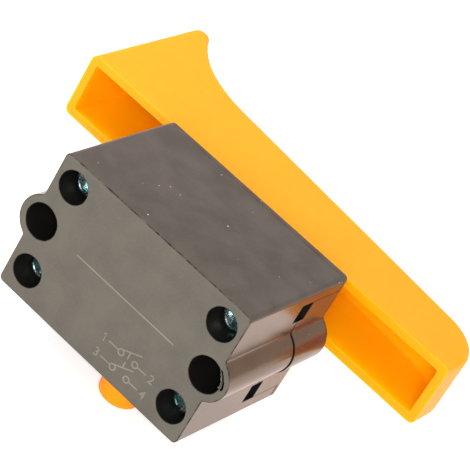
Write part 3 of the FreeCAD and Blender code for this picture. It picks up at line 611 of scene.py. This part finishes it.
def turned(profile):
    """A solid of revolution about Z through points of radius and height, closed at the axis."""
    shape = bmesh.new()
    points = [shape.verts.new((radius, 0, height)) for radius, height in profile]
    edges = [shape.edges.new(pair) for pair in zip(points, points[1:])]
    bmesh.ops.spin(shape, geom=points + edges, cent=(0, 0, 0), axis=(0, 0, 1), angle=math.tau,
                   steps=ROUND_STEPS, use_merge=True)
    bmesh.ops.remove_doubles(shape, verts=shape.verts, dist=SAME_POINT)
    bmesh.ops.recalc_face_normals(shape, faces=shape.faces)
    return shape_mesh(shape)


screw_profile = [(0.0, dish_depth), (dish_radius, dish_depth), (rim_radius, 0.0)]
screw_profile += arc(head_radius - head_corner, head_corner, head_corner, -90, 0)
screw_profile += [(head_radius, head_height), (shank_radius, head_height)]
for i in range(thread_count):
    root = thread_start + thread_pitch * i
    screw_profile += [(shank_radius - thread_depth, root), (shank_radius, root + thread_pitch / 2)]
screw_profile += [(shank_radius - thread_depth, shank_end), (0.0, shank_end)]
screw_mesh = turned(screw_profile)
past_head = head_radius * 2
slot_cut = block((-past_head, -recess_half, -outside), (past_head, recess_half, slot_depth))
cross_cut = block((-recess_half, -cross_reach, -outside), (recess_half, cross_reach, cross_depth))
screw_mesh = combine(screw_mesh, "DIFFERENCE", [slot_cut, cross_cut])
screw_copies = []
for (end, side), turn in screw_turns.items():
    copy = screw_mesh.copy()
    well = Matrix.Translation((end * terminal_x, screws_low.y, side * terminal_z))
    copy.transform(well @ POINT_BACK @ Matrix.Rotation(math.radians(turn), 4, "Z"))
    screw_copies.append(copy)
zinc_plate = blue_zinc("zinc_plate")
dress("clamp_screws", joined(screw_copies), [zinc_plate], "housing", "zinc_steel", "terminal_screws",
      edge=screw_edge)

# Clamp cages: the bent steel boxes that the screws pull against the wires.
# Blue zinc plated strip, pressed, tapped and dropped into the cover.
nodes["clamp_cages"].data.materials[0] = zinc_plate

# Terminals and rockers: the strips that carry the current and the see-saws that bridge them.
# Half-hard brass strip, stamped and bent, held between the cover and the base.
POLES = ("upper", "lower")
# Patterns of the strip: patches of tarnish, and rolling lines twenty times as long as they are wide, drawn
# coarser than they are so that they show.
tarnish_size = 3.0 * MM
line_size = 0.12 * MM
line_stretch = 0.05


def stamped_brass(name):
    """Brass strip: a yellow metal with fine rolling lines along the box and a faint brown tarnish."""
    finish, tree, shader = new_finish(name)
    place = add_node(tree, "TexCoord", {}, "Object")
    stretched = add_node(tree, "Mapping", {"Vector": place, "Scale": (line_stretch, 1.0, 1.0)}, "Vector")
    lines = add_node(tree, "TexNoise", {"Vector": stretched, "Scale": scale_of(line_size)}, "Fac")
    tarnish = add_node(tree, "TexNoise", {"Vector": place, "Scale": scale_of(tarnish_size), "Detail": 4.0},
                       "Fac")
    spread = add_node(tree, "MapRange", {"Value": tarnish, "From Min": 0.35, "From Max": 0.7}, "Result")
    tones = add_node(tree, "Mix", {SHARE: spread, COLOUR_A: linear("#D8B25C"), COLOUR_B: linear("#A77F3C")},
                     MIXED_COLOUR, data_type="RGBA")
    sheen = add_node(tree, "MapRange", {"Value": lines, "To Min": 0.22, "To Max": 0.42}, "Result")
    feed(shader, {"Base Color": tones, "Roughness": sheen, "Metallic": 1.0})
    return finish


brass_strip = stamped_brass("brass_strip")
for pole in POLES:
    for part in ("pivot_terminal", "fixed_terminal", "rocker"):
        nodes[f"{pole}_{part}"].data.materials[0] = brass_strip

# Contact tips: small rivets on the rockers and the fixed terminals.
# Silver alloy, headed from wire and riveted on, slightly dulled by arcing.
arc_mark_size = 0.6 * MM


def arced_silver(name):
    """Silver contact metal: pale and bright, with grey marks where it has arced."""
    finish, tree, shader = new_finish(name)
    place = add_node(tree, "TexCoord", {}, "Object")
    marks = add_node(tree, "TexNoise", {"Vector": place, "Scale": scale_of(arc_mark_size), "Detail": 4.0},
                     "Fac")
    spread = add_node(tree, "MapRange", {"Value": marks, "From Min": 0.45, "From Max": 0.7}, "Result")
    tones = add_node(tree, "Mix", {SHARE: spread, COLOUR_A: linear("#E3E1DB"), COLOUR_B: linear("#8C8984")},
                     MIXED_COLOUR, data_type="RGBA")
    sheen = add_node(tree, "MapRange", {"Value": marks, "To Min": 0.2, "To Max": 0.5}, "Result")
    feed(shader, {"Base Color": tones, "Roughness": sheen, "Metallic": 1.0})
    return finish


contact_silver = arced_silver("contact_silver")
for pole in POLES:
    for part in ("moving_contact", "fixed_contact"):
        nodes[f"{pole}_{part}"].data.materials[0] = contact_silver

# Contact slide and contact pins: the block that the stem moves, and the sprung pins that tip the rockers.
# Black acetal, injection moulded, smooth and clean, running dry against the cover's guides.
black_acetal = moulded_nylon("black_acetal", "#141414", "#1D1D1E", (0.25, 0.35), dust=0.0, ior=1.48)
for name in ("contact_slide", "upper_contact_pin", "lower_contact_pin"):
    nodes[name].data.materials[0] = black_acetal

# Springs and stem pin: the return spring, the lock spring, the two pin springs and the cross pin.
# Hard drawn steel wire, coiled with plain ends, and a ground steel pin pushed through the stem.
COIL_STEPS = 32
WIRE_STEPS = 3
# The wire's lines are drawn coarser than they are so that they show.
drawn_line_size = 0.2 * MM


def drawn_steel(name):
    """Drawn spring steel: grey metal with fine lines and a thin film of oil."""
    finish, tree, shader = new_finish(name)
    place = add_node(tree, "TexCoord", {}, "Object")
    lines = add_node(tree, "TexNoise", {"Vector": place, "Scale": scale_of(drawn_line_size), "Detail": 3.0},
                     "Fac")
    tones = add_node(tree, "Mix", {SHARE: lines, COLOUR_A: linear("#7C7D80"), COLOUR_B: linear("#B4B5B8")},
                     MIXED_COLOUR, data_type="RGBA")
    sheen = add_node(tree, "MapRange", {"Value": lines, "To Min": 0.2, "To Max": 0.38}, "Result")
    feed(shader, {"Base Color": tones, "Roughness": sheen, "Metallic": 1.0})
    return finish


def coil(wire, turns, low, high, axis):
    """A coil spring of round wire that fills a box along Y or Z."""
    along = "XYZ".index(axis)
    radius = (high.x - low.x) / 2 - wire / 2
    length = high[along] - low[along] - wire
    steps = round(turns * COIL_STEPS)
    path = []
    for i in range(steps + 1):
        turn = math.tau * i / COIL_STEPS
        path.append((radius * math.cos(turn), radius * math.sin(turn), length * (i / steps - 0.5)))
    drawn = bpy.data.curves.new("coil", "CURVE")
    drawn.dimensions = "3D"
    drawn.bevel_depth = wire / 2
    drawn.bevel_resolution = WIRE_STEPS
    drawn.use_fill_caps = True
    add_line(drawn, path, closed=False)
    mesh = curve_mesh(drawn)
    tilt = POINT_BACK if axis == "Y" else Matrix.Identity(4)
    mesh.transform(Matrix.Translation((low + high) / 2) @ tilt)
    return mesh


spring_steel = drawn_steel("spring_steel")
nodes["stem_pin"].data.materials[0] = spring_steel
coils = {}
for node, piece, wire, turns, axis in (
        ("return_spring", "return_coil", 0.7 * MM, 7.0, "Y"),
        ("lock_spring", "lock_coil", 0.5 * MM, 2.5, "Z"),
        ("upper_pin_spring", "upper_pin_coil", 0.4 * MM, 3.0, "Z"),
        ("lower_pin_spring", "lower_pin_coil", 0.4 * MM, 3.0, "Z")):
    coil_mesh = coil(wire, turns, *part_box(node), axis)
    coils[piece] = dress(piece, coil_mesh, [spring_steel], nodes[node]["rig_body"], "spring_steel", node)
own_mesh(coils["return_coil"])
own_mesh(coils["lock_coil"])

# Lock button: the round button in the cover's lower wall, with the collar that keeps it in and its hook.
# Yellow-orange gloss plastic, moulded, pushed out by the lock spring.
collar_height = 0.8 * MM
neck_radius = 1.0 * MM
hook_radius = 1.5 * MM
hook_height = 1.2 * MM
button_corner = 1.1 * MM
button_crown = 0.25 * MM
crown_point = (0.55 * button_radius, 0.35 * button_crown)
# Patterns of the gloss plastic: flow marks in its colour and ripples in its shine.
colour_flow = 14.0 * MM
shine_ripple = 2.5 * MM
# Red light goes furthest into the plastic, and blue hardly at all.
glow_reach = (1.0, 0.5, 0.03)


def gloss_plastic(name, tone, deep, glow, soak):
    """Gloss moulded plastic: an even strong colour with faint flow marks, and walls that pass some light.

    glow is the share of the light that goes into it, and soak how far that goes."""
    finish, tree, shader = new_finish(name)
    place = add_node(tree, "TexCoord", {}, "Object")
    clouds = add_node(tree, "TexNoise", {"Vector": place, "Scale": scale_of(colour_flow), "Detail": 3.0},
                      "Fac")
    tones = add_node(tree, "Mix", {SHARE: clouds, COLOUR_A: linear(tone), COLOUR_B: linear(deep)},
                     MIXED_COLOUR, data_type="RGBA")
    wave = add_node(tree, "TexNoise", {"Vector": place, "Scale": scale_of(shine_ripple), "Detail": 1.0},
                    "Fac")
    sheen = add_node(tree, "MapRange", {"Value": wave, "To Min": 0.4, "To Max": 0.5}, "Result")
    feed(shader, {"Base Color": tones, "Roughness": sheen, "IOR": 1.3, "Subsurface Weight": glow,
                  "Subsurface Radius": glow_reach, "Subsurface Scale": soak})
    return finish


button_length = button_high.z - button_low.z
collar_radius = button_high.x - button_x
collar_low = -inner_width - button_low.z
collar_high = collar_low + collar_height
hook_low = button_length - hook_height
button_profile = [(0.0, 0.0), crown_point]
button_profile += arc(button_radius - button_corner, button_crown + button_corner, button_corner, -90, 0)
button_profile += [(button_radius, collar_low), (collar_radius, collar_low), (collar_radius, collar_high)]
button_profile += [(neck_radius, collar_high), (neck_radius, hook_low), (hook_radius, hook_low)]
button_profile += [(hook_radius, button_length), (0.0, button_length)]
button_mesh = turned(button_profile)
button_mesh.transform(Matrix.Translation((button_x, button_y, button_low.z)))
# The button's plastic is drawn a deeper orange than the paddle's, as painted shade from the box that it
# stands against.
orange_gloss = gloss_plastic("orange_gloss", "#FF9300", "#FF8E00", glow=0.6, soak=4.0 * MM)
dress("lock_knob", button_mesh, [orange_gloss], "lock", "button", "lock_button")

# Base: the back of the box, with its end panels, the back half of each boss, posts behind the clamp cages
# and a fork behind the lock spring.
# The same nylon as the cover, moulded, snapped into the cover from behind.
base_edge = 0.6 * MM
panel_edge = 0.18 * MM
base_boss = base_high.x - bore_x
stem_half = (4.5 * MM, 2.9 * MM)
stem_room = 0.3 * MM
post_half = 1.75 * MM
post_reach = 5.2 * MM
fork_half = 3.5 * MM
fork_slot = 1.3 * MM
fork_sheet = (5.7 * MM, 7.1 * MM)
back_low = cover_high.y + close_gap
rooted_y = back_low + base_edge * 2
window_x, window_z = [half + stem_room for half in stem_half]
stem_window = [(-window_x, -window_z), (window_x, -window_z), (window_x, window_z), (-window_x, window_z)]


def end_panel():
    """The right end panel with its half boss, seen from the label face."""
    panel = panel_half - seam_gap
    inner_lean = math.degrees(math.acos((inner_length - bore_x) / base_boss))
    return [(half_length, -panel), *boss_bulge(base_boss), (half_length, panel), (inner_length, panel),
            *arc(bore_x, 0, base_boss, inner_lean, 360 - inner_lean), (inner_length, -panel)]


base_loops = [box_outline(base_boss), *[ring(*hole) for hole in bores], stem_window]
base_mesh = plate(base_loops, back_low, base_high.y, base_edge, upright=True)
panel_loops = ([end_panel(), ring(*bores[0])], [left_half(end_panel()), ring(*bores[1])])
panels = [plate(loops, seam_y + seam_gap, rooted_y, panel_edge, upright=True) for loops in panel_loops]
posts = []
for end, side in CORNERS:
    post_x = sorted((end * (inner_length - close_gap), end * (inner_length - post_reach)))
    post_z = sorted((side * (terminal_z - post_half), side * (terminal_z + post_half)))
    posts.append(block((post_x[0], cages_high.y, post_z[0]), (post_x[1], rooted_y, post_z[1])))
fork_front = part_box("lock_spring")[0].y
fork = block((button_x - fork_half, fork_front, -fork_sheet[1]),
             (button_x + fork_half, rooted_y, -fork_sheet[0]))
fork_gap = block((button_x - fork_slot, fork_front - outside, -lower_side),
                 (button_x + fork_slot, button_y + fork_slot, 0.0))
fork = combine(fork, "DIFFERENCE", [fork_gap])
base_mesh = combine(base_mesh, "UNION", [*panels, *posts, fork])
base_mesh = combine(base_mesh, "DIFFERENCE", wire_slots)
base_shell = dress("base_shell", base_mesh, HOUSING_FINISHES, "housing", "housing", "base")
# The base's panel rims along the shut line take painted shade.
mark_faces(base_shell, bores, seam_y + seam_gap + panel_edge, PAINTED_SHADE)

# Trigger: the long hollow paddle with a finger lip at one end and a stem that goes into the box.
# Yellow-orange gloss plastic, moulded in one piece and pinned to the contact slide.
trigger_low, trigger_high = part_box("trigger")
pin_low, pin_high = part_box("stem_pin")
rim_y = base_high.y + 11.4 * MM
finger_middle = rim_y + 19.25 * MM
finger_end = rim_y + 14.4 * MM
lip_lean = 0.3 * MM
lip_radius = 2.1 * MM
inner_lip = 0.8 * MM
sweep_radius = 26.0 * MM
end_radius = 10.0 * MM
paddle_wall = 1.65 * MM
paddle_edge = 1.2 * MM
hollow_edge = 0.5 * MM
rim_edge = 0.25 * MM
rib_setback = 6.0 * MM
far_off = 1000.0 * MM


def paddle_outline(inset):
    """Side view of the paddle, drawn in by inset: lip, sweep, finger face and round end, open at the rim."""
    left, right = trigger_low.x + inset, trigger_high.x - inset
    open_end = rim_y - outside
    slope = math.atan2(finger_end - finger_middle, trigger_high.x)
    along = Vector((math.cos(slope), math.sin(slope)))
    across = Vector((-along.y, along.x))
    face = Vector((0.0, finger_middle)) - across * inset
    lip, sweep, corner = max(lip_radius - inset, inner_lip), sweep_radius + inset, end_radius - inset
    lip_centre = Vector((left + lip, trigger_high.y - inset - lip))
    rise = sweep - (lip_centre - face).dot(across)
    run = math.sqrt((sweep + lip) ** 2 - rise ** 2)
    sweep_centre = face + along * ((lip_centre - face).dot(along) + run) + across * sweep
    to_sweep = sweep_centre - lip_centre
    lip_turn = math.degrees(math.atan2(to_sweep.y, to_sweep.x))
    face_turn = math.degrees(slope)
    corner_along = (right - corner + across.x * corner) / along.x
    corner_centre = face + along * corner_along - across * corner
    return [(left + lip_lean, open_end), (left + lip_lean, rim_y), *arc(*lip_centre, lip, 180, lip_turn),
            *arc(*sweep_centre, sweep, 180 + lip_turn, 270 + face_turn),
            *arc(*corner_centre, corner, 90 + face_turn, 0), (right, open_end)]


hollow = plate([paddle_outline(paddle_wall)], trigger_low.z + paddle_wall, trigger_high.z - paddle_wall,
               hollow_edge)
paddle_mesh = plate([paddle_outline(0.0)], trigger_low.z, trigger_high.z, paddle_edge)
behind_rim = block((trigger_low.x - outside, rim_y - 2 * outside, trigger_low.z - outside),
                   (trigger_high.x + outside, rim_y, trigger_high.z + outside))
paddle_mesh = combine(paddle_mesh, "DIFFERENCE", [hollow, behind_rim])
wall_middle = finger_middle - paddle_wall / 2
stem_x, stem_z = stem_half
stem = block((-stem_x, trigger_low.y, -stem_z), (stem_x, wall_middle, stem_z), hollow_edge)
rib = block((-paddle_wall / 2, rim_y + rib_setback, trigger_low.z + paddle_wall / 2),
            (paddle_wall / 2, wall_middle, trigger_high.z - paddle_wall / 2))
paddle_mesh = combine(paddle_mesh, "UNION", [stem, rib])
pin_middle = ((pin_low.x + pin_high.x) / 2, (pin_low.y + pin_high.y) / 2)
pin_radius = (pin_high.x - pin_low.x) / 2
pin_hole = drum(pin_middle, pin_radius + close_gap, pin_low.z - outside, pin_high.z + outside, "Z")
paddle_mesh = combine(paddle_mesh, "DIFFERENCE", [pin_hole])
yellow_gloss = gloss_plastic("yellow_gloss", "#FFA000", "#FF9C00", glow=0.8, soak=4.0 * MM)
# Inside the hollow: a paler copy of the paddle's plastic whose light reaches further through the walls,
# painted light that fills the hollow's shade.
lit_gloss = gloss_plastic("lit_gloss", "#FFA400", "#FF9F00", glow=1.0, soak=12.0 * MM)
PADDLE_FINISHES = [yellow_gloss, lit_gloss]
paddle = dress("paddle", paddle_mesh, PADDLE_FINISHES, "trigger_unit", "trigger", "trigger", edge=rim_edge)
# Faces beyond the rim that look towards a far point in front, on the paddle's middle line, are inside, and
# take the copy painted with light.
far_front = Vector((0.0, -far_off, 0.0))
for face in paddle.data.polygons:
    if face.center.y > rim_y + rim_edge and face.normal.dot(face.center - far_front) < 0:
        face.material_index = PADDLE_FINISHES.index(lit_gloss)

# Floor, light and camera: a pale floor under the lock button, soft studio light from the front and above,
# and the photograph's viewing angle.
# The floor shows whiter than it is lit, to the camera and in reflections, and keeps its shadow.
floor_half = 6.0
floor_lift = 0.4
world_strength = 0.8
floor_shape = bmesh.new()
bmesh.ops.create_grid(floor_shape, x_segments=1, y_segments=1, size=floor_half,
                      matrix=Matrix.Translation((0, 0, cad_low.z)))
floor_mesh = shape_mesh(floor_shape)
white_floor, floor_tree, floor_shader = new_finish("white_floor")
seen = add_node(floor_tree, "LightPath", {})
mirrored = add_node(floor_tree, "Math", {0: seen.outputs["Is Glossy Ray"],
                                         1: seen.outputs["Is Transmission Ray"]},
                    "Value", operation="MAXIMUM")
shown = add_node(floor_tree, "Math", {0: seen.outputs["Is Camera Ray"], 1: mirrored}, "Value",
                 operation="MAXIMUM")
lift = add_node(floor_tree, "Math", {0: shown, 1: floor_lift}, "Value", operation="MULTIPLY")
feed(floor_shader, {"Base Color": linear("#F4F4F4"), "Roughness": 0.9, "Emission Color": linear("#FFFFFF"),
                    "Emission Strength": lift})
floor_mesh.materials.append(white_floor)
floor = bpy.data.objects.new("floor", floor_mesh)
bpy.context.scene.collection.objects.link(floor)

world = bpy.data.worlds.new("studio")
bpy.context.scene.world = world
world.use_nodes = True
feed(world.node_tree.nodes["Background"], {"Color": linear("#FFFFFF"), "Strength": world_strength})

# Square lamps that shine at the middle of the view: place from there and width in metres, and watts.
aim = Vector((-0.995 * MM, 32.93 * MM, 3.995 * MM))
for name, place, width, power in (
        ("front_light", Vector((0.38, -0.95, 0.5)), 0.35, 11.5),
        ("left_light", Vector((-0.15, 0.0, 0.15)), 0.1, 0.22)):
    lamp = bpy.data.lights.new(name, "AREA")
    lamp.size = width
    lamp.energy = power
    lamp_object = bpy.data.objects.new(name, lamp)
    bpy.context.scene.collection.objects.link(lamp_object)
    lamp_object.location = aim + place
    lamp_object.rotation_euler = (aim - lamp_object.location).to_track_quat("-Z", "Y").to_euler()

# The camera as it was fitted to the photograph: degrees round the part, up from level and of roll.
azimuth, elevation, roll = [math.radians(angle) for angle in (21.008, 29.696, 31.329)]
distance = 425.0 * MM
photo_side = 470.0
focal_pixels = 2372.3
camera = bpy.data.cameras.new("camera")
camera.sensor_width = 36.0
camera.lens = focal_pixels * camera.sensor_width / photo_side
camera.clip_start = 0.01
back = Vector((math.sin(azimuth) * math.cos(elevation), -math.cos(azimuth) * math.cos(elevation),
               math.sin(elevation)))
camera_object = bpy.data.objects.new("camera", camera)
bpy.context.scene.collection.objects.link(camera_object)
turned_camera = (-back).to_track_quat("-Z", "Y").to_matrix().to_4x4() @ Matrix.Rotation(roll, 4, "Z")
camera_object.matrix_world = Matrix.Translation(aim + back * distance) @ turned_camera
bpy.context.scene.camera = camera_object
bpy.context.scene.view_settings.view_transform = "Standard"
